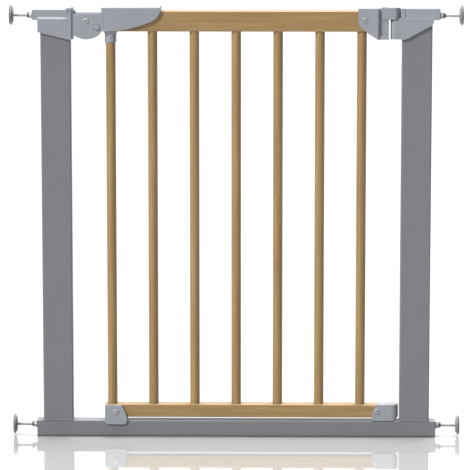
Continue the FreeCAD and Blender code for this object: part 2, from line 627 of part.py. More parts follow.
blade_plate = plate("blade_plate", [
    ("blade_left", "blade_top"), ("pivot_x + sqrt(blade_seam ^ 2 - seam_rise ^ 2)", "pivot_z + seam_rise"),
    ("pivot_x + sqrt(blade_seam ^ 2 - seam_drop ^ 2)", "pivot_z - seam_drop", "-blade_seam"),
    ("-199.1", "pivot_z - seam_drop + 0.2"),
    ("-138.2", "697.7", "250"), ("blade_tip", "blade_top", "28"), ("blade_tip + 0.2", "lip_top"),
    ("blade_tip - 2.6", "blade_top"),
], half="blade_half")
blade_hollow = box("blade_hollow", ("arm_end", "blade_tip + 20"), ("-blade_inner", "blade_inner"),
                   ("socket_base", "blade_under"))
seam_hollow = box("seam_hollow", ("arm_end - 13", "arm_end + 0.1"), ("-blade_inner", "blade_inner"),
                  ("socket_base", "blade_under - 6"))
blade = cut("blade", blade_plate, blade_hollow, seam_hollow)
arm = plate("arm", [
    ("-240", "690"), ("-226", "pivot_z + 0.9"), ("arm_end", "pivot_z + 0.9"), ("arm_end", "blade_top"),
    ("blade_left", "blade_top"), ("-242.7", "711"), ("-252", "707"), ("-256", "696"),
], span=("-arm_front", "arm_rear"))
boss = rod("boss", "Y", "boss_radius", ("-arm_front", "arm_rear"), PIVOT)
finger_neck = box("finger_neck", ("pivot_x - 1.8", "pivot_x + 1.8"), ("-4.4", "arm_rear"),
                  ("pivot_z - finger_drop", "pivot_z - boss_radius + 2"))
finger = rod("finger", "Y", "finger_radius", ("-4.4", "arm_rear"), ("pivot_x", "pivot_z - finger_drop"))
pivot_bore = rod("pivot_bore_bar", "Y", "pivot_bore", ("-20", "20"), PIVOT)
node(cut("lever", fuse("lever_solid", blade, arm, boss, finger_neck, finger), pivot_bore), "release_handle")

bolt_bar = plate("bolt_bar", [
    ("bolt_nose + 2.5", "bolt_base"), ("bolt_tail", "bolt_base"), ("bolt_tail", "bolt_top - 1.5 * tail_slope"),
    ("bolt_tail - tail_slope", "bolt_top"), ("bolt_nose", "bolt_top"), ("bolt_nose", "bolt_base + 3"),
], half="bolt_half")
bolt_slot = box("bolt_slot", ("pivot_x - slot_half", "pivot_x + slot_half"),
                ("-bolt_half - 1", "bolt_half + 1"), ("bolt_base + 2", "bolt_top + 1"))
node(cut("bolt_cut", bolt_bar, bolt_slot), "latch_bolt")

# ---------------------------------------------------------------- hinge end cap and knuckle

cap_plate = plate("cap_plate", [
    ("200.6", "cap_top"), ("200.6", "699.8"), ("206.4", "686.2", "30"), ("213", "681.2"),
    ("219.6", "676"), ("229.5", "670.1"), ("233.3", "668.9"), ("233.3", "cap_top"),
], half="cap_half")
neck_low = box("neck_low", ("232", "neck_end"), ("-neck_half", "neck_half"), ("667.8", "knuckle_base - 0.2"))
neck_high = box("neck_high", ("232", "knuckle_left - 0.1"), ("-neck_half", "neck_half"), ("690", "cap_top"))
shelf = box("neck_shelf", ("231", "neck_end"), ("-10", "10"), ("667.8", "674.5"))
cap_pocket = box("cap_pocket", ("190", "top_wood_right + glue_gap"), ("-wood_deep / 2", "wood_deep / 2"),
                 ("top_wood_base", "top_wood_top"))
cap_dowel = rod("cap_dowel_room", "Z", "dowel_radius + 0.2", ("660", "top_wood_base + 1"), (dowel_x(7), "0"))
KNUCKLE_FIX = ("knuckle_fix_x", "0")
fix_thread = rod("fix_thread", "Z", "screw_shank", ("knuckle_base - 17", "knuckle_base + 1"), KNUCKLE_FIX)
node(cut("cap_cut", fuse("cap_solid", cap_plate, neck_low, neck_high, shelf), cap_pocket, cap_dowel,
         bolt_hole("cap_bolt", "cap"), fix_thread), "hinge_end_cap")

HINGE = ("hinge_x", "0")
knuckle_block = box("knuckle_block", ("knuckle_left", "hinge_x"), ("-knuckle_half", "knuckle_half"),
                    ("knuckle_base - 0.2", "knuckle_top"))
knuckle_round = rod("knuckle_round", "Z", "knuckle_half", ("knuckle_base", "knuckle_top"), HINGE)
knuckle_bore = rod("knuckle_bore", "Z", "pin_bore", ("knuckle_base - 1", "upper_pin_top + 0.5"), HINGE)
knuckle_hole = rod("knuckle_hole", "Z", "screw_shank", ("knuckle_base - 1", "knuckle_top + 1"), KNUCKLE_FIX)
knuckle_sink = rod("knuckle_sink", "Z", "screw_head", ("knuckle_top - 2.4", "knuckle_top + 1"), KNUCKLE_FIX)
washer_room = box("washer_room", ("neck_end + 0.3", "hinge_x"), ("-10", "10"),
                  ("knuckle_base - 1", "knuckle_base"))
node(cut("knuckle_cut", fuse("knuckle_solid", knuckle_block, knuckle_round), knuckle_bore, knuckle_hole,
         knuckle_sink, washer_room), "hinge_knuckle")
fix_shank = rod("fix_shank", "Z", "screw_shank", ("knuckle_base - 17", "knuckle_top - 1"), KNUCKLE_FIX)
fix_head = rod("fix_head", "Z", "screw_head", ("knuckle_top - 2.4", "knuckle_top - 0.6"), KNUCKLE_FIX)
node(fuse("knuckle_fix", fix_shank, fix_head), "knuckle_screw")

# ---------------------------------------------------------------- hinge foot and lower catch

foot_face = plate("foot_face", [
    ("foot_left", "foot_base"), ("265.2", "foot_base"), ("270.8", "34"), ("270.8", "foot_top"),
    ("234.8", "foot_top"), ("foot_left", "42"),
], half="foot_half")
foot_plan = fuse("foot_plan",
                 box("foot_plan_block", ("foot_left", "hinge_x"), ("-foot_half", "foot_half"), ("20", "60")),
                 rod("foot_plan_round", "Z", "foot_half", ("20", "60"), HINGE))
foot_pocket = box("foot_pocket", ("220", "low_wood_right + glue_gap"), ("-wood_deep / 2", "wood_deep / 2"),
                  ("low_wood_base", "60"))
tenon_pocket = box("tenon_pocket", ("low_wood_right - 1", "tenon_end + glue_gap"),
                   ("-tenon_half", "tenon_half"), ("tenon_base", "tenon_top"))
foot_bore = rod("foot_bore", "Z", "pin_bore", ("20", "low_pin_top + 1"), HINGE)
foot_recess = rod("foot_recess", "Z", "low_washer_radius + 0.3", ("20", "rail_high + washer_thick + 0.2"),
                  HINGE)
node(cut("foot_cut", common("foot_shape", foot_face, foot_plan), foot_pocket, tenon_pocket, foot_bore,
         foot_recess, bolt_hole("foot_bolt", "foot")), "hinge_foot")

catch_face = plate("catch_face", [
    ("-217.2", "catch_base"), ("-185.4", "catch_base"), ("catch_right", "26.8"), ("-185.3", "40.5"),
    ("-191.9", "catch_top"), ("catch_left", "catch_top"), ("catch_left", "24"),
], half="catch_half")
catch_pocket = box("catch_pocket", ("low_wood_left - glue_gap", "-170"), ("-wood_deep / 2", "wood_deep / 2"),
                   ("low_wood_base", "60"))
catch_fork = box("catch_fork", ("-230", "-170"), ("-fork_half", "fork_half"), ("10", "fork_top"))
node(cut("catch_cut", catch_face, catch_pocket, catch_fork, bolt_hole("catch_bolt", "catch")), "lower_catch")
node(group("panel_bolt_set", *[panel_bolt(bolt) for bolt in PANEL_BOLTS]), "panel_bolts")

# ---------------------------------------------------------------- wall spindles


def outward(sign, near, far):
    """A span along X on one side, from near to far of the middle, in rising order."""
    return tuple(sorted(("%s * (%s)" % (sign, near), "%s * (%s)" % (sign, far)), key=worth))


def round_rim(edge):
    return isinstance(edge.Curve, Part.Circle)


def spindle(side, level):
    """One screw spindle: threaded rod, adjusting nut, pad cup and rubber wall pad."""
    sign = SIDES[side]
    name = "%s_%s" % (level, side)
    centre = ("0", LEVELS[level])
    cup_face = "pad_face - rubber_thick"
    cup_back = "pad_face - pad_thick"
    bar = rod(name + "_bar", "X", "rod_radius", outward(sign, "rod_inner_end", cup_back + " + 2"), centre)
    node(bar, name + "_spindle")

    collar = {"upper_left": "-band_left", "upper_right": "bracket_right"}.get(name, "rail_half")
    nut_face = "%s + bush_collar_thick + running_gap" % collar
    hex_end = nut_face + " + nut_hex_long"
    nut_end = nut_face + " + nut_long"
    hexagon = doc.addObject("Part::Prism", name + "_hex")
    hexagon.Polygon = 6
    bind(hexagon, Circumradius="nut_flats / 2 / cos(30)", Height="nut_hex_long")
    hexagon.Placement.Rotation = TURNS["X"]
    place(hexagon, outward(sign, nut_face, hex_end)[0], *centre)
    ends = outward(sign, hex_end, nut_end)
    radii = ("nut_skirt", "nut_nose") if side == "right" else ("nut_nose", "nut_skirt")
    skirt = rod(name + "_skirt", "X", radii[0], ends, centre, tip=radii[1])
    bore = rod(name + "_nut_bore", "X", "nut_bore", outward(sign, nut_face + " - 2", nut_end + " + 2"), centre)
    node(cut(name + "_nut_cut", fuse(name + "_nut_solid", hexagon, skirt), bore), name + "_nut")

    disc = rod(name + "_disc", "X", "pad_radius", outward(sign, cup_back, cup_face), centre)
    cup = rounded(name + "_cup_soft", disc, "2.2", round_rim)
    socket = rod(name + "_socket", "X", "rod_radius", outward(sign, cup_back + " - 1", cup_back + " + 2"),
                 centre)
    node(cut(name + "_cup_cut", cup, socket), name + "_pad_cup")
    face = rod(name + "_face", "X", "rubber_radius", outward(sign, cup_face, "pad_face"), centre)
    node(rounded(name + "_face_soft", face, "0.6", round_rim), name + "_wall_pad")


for level in LEVELS:
    for side in SIDES:
        spindle(side, level)

# ---------------------------------------------------------------- check and write

doc.recompute()
faults = [thing.Name for thing in doc.Objects if {"Invalid", "Error"} & set(thing.State)]
faults += [thing.Label for thing in NODES if thing.Shape.isNull() or not thing.Shape.isValid()]
if faults:
    raise RuntimeError("objects that failed: " + ", ".join(faults))

os.makedirs("parts", exist_ok=True)
for thing in NODES:
    thing.Shape.exportStep("parts/%s.step" % thing.Label)
print("%d sub-parts written" % len(NODES))
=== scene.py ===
"""Looks of a pressure-fitted safety gate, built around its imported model."""
import json
import math

import bmesh
import bpy
from mathutils import Euler, Matrix, Vector

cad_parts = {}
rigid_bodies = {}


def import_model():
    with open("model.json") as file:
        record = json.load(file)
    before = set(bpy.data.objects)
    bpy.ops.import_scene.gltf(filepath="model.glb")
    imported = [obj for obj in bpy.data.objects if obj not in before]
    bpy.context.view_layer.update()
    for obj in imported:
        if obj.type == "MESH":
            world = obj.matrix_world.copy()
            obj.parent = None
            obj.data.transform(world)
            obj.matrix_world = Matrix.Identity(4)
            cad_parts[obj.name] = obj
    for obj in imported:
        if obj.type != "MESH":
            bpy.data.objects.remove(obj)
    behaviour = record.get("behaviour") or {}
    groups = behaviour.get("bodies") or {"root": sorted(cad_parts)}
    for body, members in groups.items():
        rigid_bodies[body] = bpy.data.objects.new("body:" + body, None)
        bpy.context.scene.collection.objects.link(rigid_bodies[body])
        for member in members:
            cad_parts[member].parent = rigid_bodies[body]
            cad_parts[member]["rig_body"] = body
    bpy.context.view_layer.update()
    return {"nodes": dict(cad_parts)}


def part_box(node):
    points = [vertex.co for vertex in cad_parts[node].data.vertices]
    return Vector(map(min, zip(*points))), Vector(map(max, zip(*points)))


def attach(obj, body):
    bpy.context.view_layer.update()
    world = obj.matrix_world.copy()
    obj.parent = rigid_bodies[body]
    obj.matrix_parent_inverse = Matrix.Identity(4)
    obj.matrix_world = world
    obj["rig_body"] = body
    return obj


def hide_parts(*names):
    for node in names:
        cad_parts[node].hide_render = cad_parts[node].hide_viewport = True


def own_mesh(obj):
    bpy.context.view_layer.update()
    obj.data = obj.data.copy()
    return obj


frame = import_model()

MM = 0.001
JOIN_GAP = 2e-6  # corners of a CAD mesh's loose triangles closer than this are one corner, in metres
RING_GAP = 1e-6  # the same for the first and last ring of a revolved piece
LEVEL_GAP = 1e-5  # a corner this near to a plane lies in it
CORNERS = [(level, side) for level in ("upper", "lower") for side in ("left", "right")]
OUTWARD = {"left": -1, "right": 1}

COVE_SEEN = 1.02  # brightness of the white cove where the camera or a reflection meets it
COVE_FILL = 0.18  # the light that it gives
FLOOR_SEEN = 0.37
FLOOR_BOUNCE = 0.15
FLOOR_HALF = 40.0


# ------------------------------------------------------------------ camera, floor and light

def aim_camera():
    """A long lens a little right of the middle, looking slightly down at the gate."""
    data = bpy.data.cameras.new("view")
    data.sensor_width = 36.0
    data.lens = 255.17
    data.clip_end = 200.0
    camera = bpy.data.objects.new("view", data)
    camera.location = (0.0785, -5.4630, 1.2515)
    pitch = math.radians(9.468)
    yaw = math.radians(0.845)
    camera.rotation_euler = Euler((math.pi / 2 - pitch, 0, yaw))
    bpy.context.scene.collection.objects.link(camera)
    bpy.context.scene.camera = camera


def sun(name, tilt, turn, strength, spread):
    """A distant soft lamp, tilted off the vertical and turned about it, in degrees."""
    data = bpy.data.lights.new(name, "SUN")
    data.energy = strength
    data.angle = math.radians(spread)
    lamp = bpy.data.objects.new(name, data)
    lamp.rotation_euler = Euler((math.radians(tilt), 0, math.radians(turn)))
    bpy.context.scene.collection.objects.link(lamp)


def light_studio():
    """A white cove, seen white but lighting softly, a broad lamp overhead and a key from the left."""
    world = bpy.data.worlds.new("studio")
    bpy.context.scene.world = world
    world.use_nodes = True
    nodes, links = world.node_tree.nodes, world.node_tree.links
    background = nodes["Background"]
    background.inputs["Color"].default_value = (1, 1, 1, 1)
    ray = nodes.new("ShaderNodeLightPath")
    seen = nodes.new("ShaderNodeMath")
    seen.operation = "MAXIMUM"
    links.new(ray.outputs["Is Camera Ray"], seen.inputs[0])
    links.new(ray.outputs["Is Glossy Ray"], seen.inputs[1])
    strength = nodes.new("ShaderNodeMath")
    strength.operation = "MULTIPLY_ADD"
    links.new(seen.outputs[0], strength.inputs[0])
    strength.inputs[1].default_value = COVE_SEEN - COVE_FILL
    strength.inputs[2].default_value = COVE_FILL
    links.new(strength.outputs[0], background.inputs["Strength"])
    sun("overhead", 12, 150, 8.4, 44)
    sun("key", 52, -48, 4.2, 9)
    bpy.context.scene.view_settings.view_transform = "Standard"


# ------------------------------------------------------------------ shader maths

class Wire:
    """One value in a finish; arithmetic on it adds Math nodes."""

    def __init__(self, finish, socket):
        self.finish = finish
        self.socket = socket

    def _math(self, operation, first, second):
        return self.finish.add("ShaderNodeMath", {"operation": operation}, {0: first, 1: second})

    def __add__(self, other):
        return self._math("ADD", self, other)

    def __radd__(self, other):
        return self._math("ADD", other, self)

    def __mul__(self, other):
        return self._math("MULTIPLY", self, other)

    def __rmul__(self, other):
        return self._math("MULTIPLY", other, self)


class Finish:
    """A material under construction around one Principled shader."""

    def __init__(self, name, slot):
        self.material = bpy.data.materials.new(name)
        self.slot = slot
        self.material.use_nodes = True
        self.tree = self.material.node_tree
        self.tree.nodes.clear()
        self.shader = self.tree.nodes.new("ShaderNodeBsdfPrincipled")
        output = self.tree.nodes.new("ShaderNodeOutputMaterial")
        self.tree.links.new(self.shader.outputs[0], output.inputs["Surface"])

    def add(self, kind, settings=None, values=None, out=0):
        """A node with its settings and socket values; gives one of its outputs."""
        made = self.tree.nodes.new(kind)
        for key, setting in (settings or {}).items():
            if key == "stops":
                self._ramp(made.color_ramp, setting)
            else:
                setattr(made, key, setting)
        self._fill(made, values or {})
        return Wire(self, made.outputs[out])

    def _fill(self, made, values):
        for key, value in values.items():
            if isinstance(value, Wire):
                self.tree.links.new(value.socket, made.inputs[key])
            else:
                made.inputs[key].default_value = value

    @staticmethod
    def _ramp(ramp, stops):
        for place, _ in stops[2:]:
            ramp.elements.new(place)
        for element, (place, colour) in zip(ramp.elements, stops):
            element.position = place
            element.color = colour

    def place(self, scale=(1, 1, 1)):
        """Object coordinates in metres; a scale below 1 stretches a pattern along that axis."""
        spot = self.add("ShaderNodeTexCoord", out="Object")
        return self.add("ShaderNodeMapping", values={"Vector": spot, "Scale": scale})

    def noise(self, vector, scale, detail=2.0, rough=0.5, out=0):
        values = {"Vector": vector, "Scale": scale, "Detail": detail, "Roughness": rough}
        return self.add("ShaderNodeTexNoise", values=values, out=out)

    def ramp(self, value, *stops):
        return self.add("ShaderNodeValToRGB", {"stops": stops}, {"Fac": value})

    def blend(self, factor, first, second):
        """A mix of two colours."""
        return self.add("ShaderNodeMix", {"data_type": "RGBA"}, {0: factor, 6: first, 7: second}, out=2)

    def bump(self, height, strength, distance):
        """A surface relief; its distance is in metres."""
        return self.add("ShaderNodeBump", values={"Height": height, "Strength": strength,
                                                  "Distance": distance})

    def shade(self, **values):
        """Set sockets of the shader; an underscore stands for a blank."""
        self._fill(self.shader, {key.replace("_", " "): value for key, value in values.items()})
        return self


def grey(level, tint=(1, 1, 1)):
    """A grey of a linear level, which a tint may lean towards a hue."""
    return (level * tint[0], level * tint[1], level * tint[2], 1)


def tone(red, green, blue, factor=1.0):
    """A linear colour, lighter or darker by a factor."""
    return (red * factor, green * factor, blue * factor, 1)


# ------------------------------------------------------------------ finishes

def powder_coat(name, slot, colour, roughness, grain):
    """A baked coating: even colour, faint mottling and a fine orange-peel skin."""
    finish = Finish(name, slot)
    spot = finish.place()
    cloud = finish.noise(spot, 28, 3)
    fine = finish.noise(spot, 1400, 2, 0.6)
    peel = finish.noise(spot, grain, 2)
    dark = tone(*colour, 0.94)
    light = tone(*colour, 1.05)
    mottled = finish.blend(cloud, dark, light)
    speck = finish.blend(fine * 0.10, mottled, tone(*colour, 0.72))
    skin = finish.bump(peel, 0.25, 0.00012)
    rough = roughness - 0.05 + cloud * 0.07 + fine * 0.04
    return finish.shade(Base_Color=speck, Roughness=rough, Normal=skin, Specular_IOR_Level=0.45)


def beech(name, slot, along):
    """Lacquered beech: long soft figure, close pores and the short dark flecks of its rays."""
    finish = Finish(name, slot)
    grain = [0.045 if axis == along else 1 for axis in "XYZ"]
    fleck = [0.16 if axis == along else 1 for axis in "XYZ"]
    long_spot = finish.place(grain)
    warp = finish.noise(finish.place(), 9, 2, out="Color")
    bent = finish.add("ShaderNodeVectorMath", {"operation": "MULTIPLY_ADD"},
                      {0: warp, 1: (0.004, 0.004, 0.004), 2: long_spot})
    figure = finish.noise(bent, 150, 4, 0.6)
    fibre = finish.noise(long_spot, 1500, 3, 0.6)
    board = finish.noise(finish.place((0.4, 1, 0.4)), 11, 1)
    rays = finish.noise(finish.place(fleck), 900, 1, 0.4)
    ray_mask = finish.ramp(rays, (0.0, grey(0)), (0.66, grey(0)), (0.74, grey(1)))
    pale = tone(0.292, 0.190, 0.071)
    deep = tone(0.182, 0.109, 0.035)
    wood = finish.blend(finish.ramp(figure, (0.36, grey(0)), (0.66, grey(1))), deep, pale)
    wood = finish.blend(fibre * 0.45, wood, tone(0.220, 0.132, 0.044))
    wood = finish.blend(board * 0.35, wood, tone(0.280, 0.162, 0.070))
    wood = finish.blend(ray_mask * 0.38, wood, tone(0.120, 0.063, 0.020))
    pores = finish.bump(fibre, 0.20, 0.00010)
    rough = 0.40 + fibre * 0.14
    return finish.shade(Base_Color=wood, Roughness=rough, Normal=pores, Coat_Weight=0.18, Coat_Roughness=0.28)


def zinc(name, slot, level, roughness):
    """Bright zinc plate with faint clouding and fine drawn lines."""
    finish = Finish(name, slot)
    cloud = finish.noise(finish.place(), 120, 3)
    lines = finish.noise(finish.place((0.05, 1, 1)), 2600, 2)
    cool = (1, 1, 1.02)
    colour = finish.blend(cloud, grey(level * 0.82, cool), grey(level * 1.1, cool))
    drawn = finish.bump(lines, 0.12, 0.00004)
    return finish.shade(Base_Color=colour, Metallic=1.0, Roughness=roughness + cloud * 0.12, Normal=drawn)


def moulded(name, slot, colour, roughness, grain=900):
    """Moulded plastic with a spark-eroded texture."""
    finish = Finish(name, slot)
    spot = finish.place()
    skin = finish.noise(spot, grain, 3, 0.6)
    cloud = finish.noise(spot, 45, 2)
    hue = finish.blend(cloud, tone(*colour, 0.9), tone(*colour, 1.1))
    grained = finish.bump(skin, 0.3, 0.00008)
    return finish.shade(Base_Color=hue, Roughness=roughness + skin * 0.12, Normal=grained)


STEEL = powder_coat("powder_coat_grey", "painted_steel", (0.142, 0.144, 0.155), 0.34, 520)
CASTING = powder_coat("casting_grey", "cast_grey", (0.232, 0.242, 0.268), 0.42, 700)
KEEPER = powder_coat("keeper_grey", "dark_keeper", (0.150, 0.155, 0.175), 0.5, 700)
BEECH_ALONG = beech("beech_rail", "beech", "X")
BEECH_UP = beech("beech_dowel", "beech", "Z")
ZINC = zinc("zinc_plate", "zinc_steel", 0.32, 0.42)
SCREW = zinc("screw_plate", "zinc_steel", 0.26, 0.55)
WIRE = zinc("spring_wire", "spring_steel", 0.45, 0.34)
BLACK = moulded("black_nylon", "black_plastic", (0.06, 0.06, 0.063), 0.45)
NUT_GREY = moulded("nut_grey_nylon", "nut_grey", (0.40, 0.40, 0.42), 0.42)
PAD_GREY = moulded("pad_cup_grey", "pad_grey", (0.15, 0.15, 0.155), 0.38)
RUBBER = moulded("pad_rubber_grey", "pad_rubber", (0.085, 0.085, 0.085), 0.72, 500)


# ------------------------------------------------------------------ making meshes

def wear(piece, finish):
    """Give a piece a finish as its only material."""
    piece.data.materials.clear()
    piece.data.materials.append(finish.material)


def piece_from(mesh, name, body, finish, *nodes):
    """An object for a finished mesh, riding on a body and standing for CAD nodes."""
    piece = bpy.data.objects.new(name, mesh)
    bpy.context.scene.collection.objects.link(piece)
    wear(piece, finish)
    for polygon in mesh.polygons:
        polygon.use_smooth = True
    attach(piece, body)
    if nodes:
        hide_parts(*nodes)
    return piece


def without_gaps(mesh):
    """A working copy of a CAD mesh with its loose triangles joined."""
    work = bmesh.new()
    work.from_mesh(mesh)
    bmesh.ops.remove_doubles(work, verts=work.verts, dist=JOIN_GAP)
    return work


def without_seams(mesh, slack):
    """The same with flat neighbours, up to a slack in degrees, joined to larger faces."""
    work = without_gaps(mesh)
    bmesh.ops.dissolve_limit(work, angle_limit=math.radians(slack), verts=work.verts, edges=work.edges)
    return work


def settled(holder, name):
    """The evaluated mesh of an object with live modifiers; the object itself goes."""
    bpy.context.view_layer.update()
    seen = holder.evaluated_get(bpy.context.evaluated_depsgraph_get())
    mesh = bpy.data.meshes.new_from_object(seen)
    mesh.name = name
    bpy.data.objects.remove(holder)
    return mesh


def body_of(node):
    return frame["nodes"][node]["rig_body"]


def softened(node, finish, width):
    """A CAD piece with its sharp edges rounded over by a width in millimetres."""
    mesh = frame["nodes"][node].data.copy()
    work = without_seams(mesh, 1.0)
    work.to_mesh(mesh)
    work.free()
    mesh.polygons.foreach_set("use_smooth", [True] * len(mesh.polygons))
    holder = bpy.data.objects.new(node + "_work", mesh)
    bpy.context.scene.collection.objects.link(holder)
    bevel = holder.modifiers.new("edges", "BEVEL")
    bevel.width = width * MM
    bevel.segments = 3
    bevel.limit_method = "ANGLE"
    bevel.angle_limit = math.radians(32)
    bevel.miter_outer = "MITER_ARC"
    flat = holder.modifiers.new("flat_faces", "WEIGHTED_NORMAL")
    flat.mode = "FACE_AREA"
    flat.weight = 90
    return piece_from(settled(holder, node + "_skin"), node + "_skin", body_of(node), finish, node)


AXES = {  # the turn that takes the Z axis onto each axis
    "X": Matrix(((0, 0, 1), (1, 0, 0), (0, 1, 0))),
    "Y": Matrix(((1, 0, 0), (0, 0, 1), (0, -1, 0))),
    "Z": Matrix.Identity(3),
}


def hexagonal(radius, angle):
    """The reach at an angle of a hexagon whose corners lie at a radius."""
    return radius * math.cos(math.pi / 6) / math.cos(angle % (math.pi / 3) - math.pi / 6)


def revolved(work, profile, axis, centre, around=48, sign=1):
    """Spin (along, radius) pairs in millimetres about an axis through a centre; radius 0 is a pole.

    A negative radius makes that ring a hexagon with its corners at the radius.
    """
    turn = AXES[axis]
    rings = []
    for along, radius in profile:
        if radius == 0:
            rings.append([work.verts.new(centre + turn @ Vector((0, 0, sign * along * MM)))])
            continue
        ring = []
        for step in range(around):
            angle = math.tau * step / around
            reach = radius if radius > 0 else hexagonal(-radius, angle)
            local = Vector((reach * math.cos(angle), reach * math.sin(angle), sign * along)) * MM
            ring.append(work.verts.new(centre + turn @ local))
        rings.append(ring)
    for low, high in zip(rings, rings[1:]):
        for step in range(around):
            after = step + 1
            corners = [low[step % len(low)], low[after % len(low)],
                       high[after % len(high)], high[step % len(high)]]
            unique = [corner for index, corner in enumerate(corners) if corner not in corners[:index]]
            if len(unique) > 2:
                work.faces.new(unique)


def closed_mesh(work, name):
    """The mesh of a finished closed shape, with its faces pointing outwards."""
    bmesh.ops.recalc_face_normals(work, faces=work.faces)
    mesh = bpy.data.meshes.new(name)
    work.to_mesh(mesh)
    work.free()
    return mesh


def quarter(start, stop, steps=5):
    """Points of an elliptical quarter turn between two (along, radius) pairs, bulging outwards."""
    points = []
    for step in range(steps + 1):
        angle = math.pi / 2 * step / steps
        points.append((start[0] + (stop[0] - start[0]) * math.sin(angle),
                       stop[1] + (start[1] - stop[1]) * math.cos(angle)))
    return points


def turned_outward(mesh):
    """The same mesh with all its faces pointing outwards."""
    work = bmesh.new()
    work.from_mesh(mesh)
    bmesh.ops.recalc_face_normals(work, faces=work.faces)
    work.to_mesh(mesh)
    work.free()
    return mesh


def middle(node):
    low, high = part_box(node)
    return (low + high) / 2


# ------------------------------------------------------------------ geometry node trees

class Tree:
    """A geometry node tree with named inputs."""

    def __init__(self, name, **inputs):
        self.group = bpy.data.node_groups.new(name, "GeometryNodeTree")
        self.group.interface.new_socket("Geometry", in_out="OUTPUT", socket_type="NodeSocketGeometry")
        self.ids = {}
        for label, kind in inputs.items():
            made = self.group.interface.new_socket(label, in_out="INPUT", socket_type="NodeSocket" + kind)
            self.ids[label] = made.identifier
        self.given = self.group.nodes.new("NodeGroupInput")

    def add(self, kind, settings=None, values=None):
        made = self.group.nodes.new(kind)
        for key, setting in (settings or {}).items():
            setattr(made, key, setting)
        for key, value in (values or {}).items():
            if isinstance(value, bpy.types.NodeSocket):
                self.group.links.new(value, made.inputs[key])
            else:
                made.inputs[key].default_value = value
        return made

    def maths(self, operation, first, second=0.0):
        return self.add("ShaderNodeMath", {"operation": operation}, {0: first, 1: second}).outputs[0]

    def close(self, geometry):
        """End the tree with real geometry and the piece's material."""
        real = self.add("GeometryNodeRealizeInstances", values={0: geometry}).outputs[0]
        finish = self.given.outputs["Finish"]
        dressed = self.add("GeometryNodeSetMaterial", values={0: real, "Material": finish})
        output = self.group.nodes.new("NodeGroupOutput")
        self.group.links.new(dressed.outputs[0], output.inputs[0])

    def grow(self, name, **values):
        """The mesh this tree makes with these input values."""
        holder = bpy.data.objects.new(name + "_work", bpy.data.meshes.new(name + "_seed"))
        bpy.context.scene.collection.objects.link(holder)
        modifier = holder.modifiers.new("grow", "NODES")
        modifier.node_group = self.group
        for label, value in values.items():
            modifier[self.ids[label]] = value
        return settled(holder, name)


def thread_tree():
    """A threaded bar along +X: a sheet wrapped into a tube whose radius follows the helix."""
    tree = Tree("threaded_bar", Length="Float", Radius="Float", Pitch="Float", Depth="Float",
                Rows="Int", Finish="Material")
    given = tree.given.outputs
    around = 24
    end_share = 0.0005
    sheet = tree.add("GeometryNodeMeshGrid", values={
        "Size X": 1.0, "Size Y": 1.0, "Vertices X": given["Rows"], "Vertices Y": around + 1})
    spot = tree.add("ShaderNodeSeparateXYZ", values={0: tree.add("GeometryNodeInputPosition").outputs[0]})
    along = tree.maths("ADD", spot.outputs[0], 0.5)
    share = tree.maths("ADD", spot.outputs[1], 0.5)
    angle = tree.maths("MULTIPLY", share, math.tau)
    reach = tree.maths("MULTIPLY", along, given["Length"])
    turns = tree.maths("SUBTRACT", tree.maths("DIVIDE", reach, given["Pitch"]), share)
    wave = tree.maths("PINGPONG", turns, 0.5)
    groove = tree.maths("MULTIPLY", tree.maths("MULTIPLY", wave, 2.0), given["Depth"])
    full = tree.maths("SUBTRACT", given["Radius"], groove)
    past_start = tree.maths("GREATER_THAN", along, end_share)
    before_end = tree.maths("LESS_THAN", along, 1 - end_share)
    radius = tree.maths("MULTIPLY", full, tree.maths("MULTIPLY", past_start, before_end))
    place = tree.add("ShaderNodeCombineXYZ", values={
        0: reach, 1: tree.maths("MULTIPLY", radius, tree.maths("COSINE", angle)),
        2: tree.maths("MULTIPLY", radius, tree.maths("SINE", angle))})
    bent = tree.add("GeometryNodeSetPosition", values={
        "Geometry": sheet.outputs[0], "Position": place.outputs[0]})
    closed = tree.add("GeometryNodeMergeByDistance", values={
        "Geometry": bent.outputs[0], "Distance": 0.01 * MM})
    tree.close(closed.outputs[0])
    return tree


def coil_tree():
    """A coil spring along +Z: a spiral swept by a round wire."""
    tree = Tree("coil_spring", Turns="Float", Radius="Float", Height="Float", Wire="Float", Finish="Material")
    given = tree.given.outputs
    spiral = tree.add("GeometryNodeCurveSpiral", values={
        "Resolution": 28, "Rotations": given["Turns"], "Start Radius": given["Radius"],
        "End Radius": given["Radius"], "Height": given["Height"]})
    section = tree.add("GeometryNodeCurvePrimitiveCircle", values={"Resolution": 10, "Radius": given["Wire"]})
    swept = tree.add("GeometryNodeCurveToMesh", values={
        "Curve": spiral.outputs[0], "Profile Curve": section.outputs[0], "Fill Caps": True})
    tree.close(swept.outputs[0])
    return tree


THREAD = thread_tree()
COIL = coil_tree()


# ------------------------------------------------------------------ pieces

def make_castings():
    """Castings, keeper and bolt with their edges rounded over by widths in millimetres."""
    for node, width in (("latch_receiver", 0.9), ("hinge_bracket", 0.9), ("latch_head_front", 0.7),
                        ("latch_head_rear", 0.7), ("hinge_end_cap", 0.9), ("hinge_knuckle", 0.8),
                        ("hinge_foot", 2.2), ("lower_catch", 1.6), ("dowel_ferrule", 0.4)):
        softened(node, CASTING, width)
    softened("keeper_plate", KEEPER, 0.5)
    close_hinge_gap()
    softened("latch_bolt", ZINC, 0.4)


def close_hinge_gap():
    """A narrow rib on the bracket, just clear of the turning knuckle, that closes the slit between them."""
    start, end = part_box("hinge_knuckle")
    low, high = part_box("hinge_bracket")
    wall = min(spot.x for spot in side_outline("hinge_bracket", low.y)) / MM
    clear, sunk, inset = 0.35, 0.4, 1.5
    rib = block((end.x / MM + clear, inset, start.z / MM + 1),
                (wall + sunk, high.y / MM - inset, high.z / MM - 1), "hinge_rib")
    piece_from(rib, "hinge_rib", "frame", CASTING)


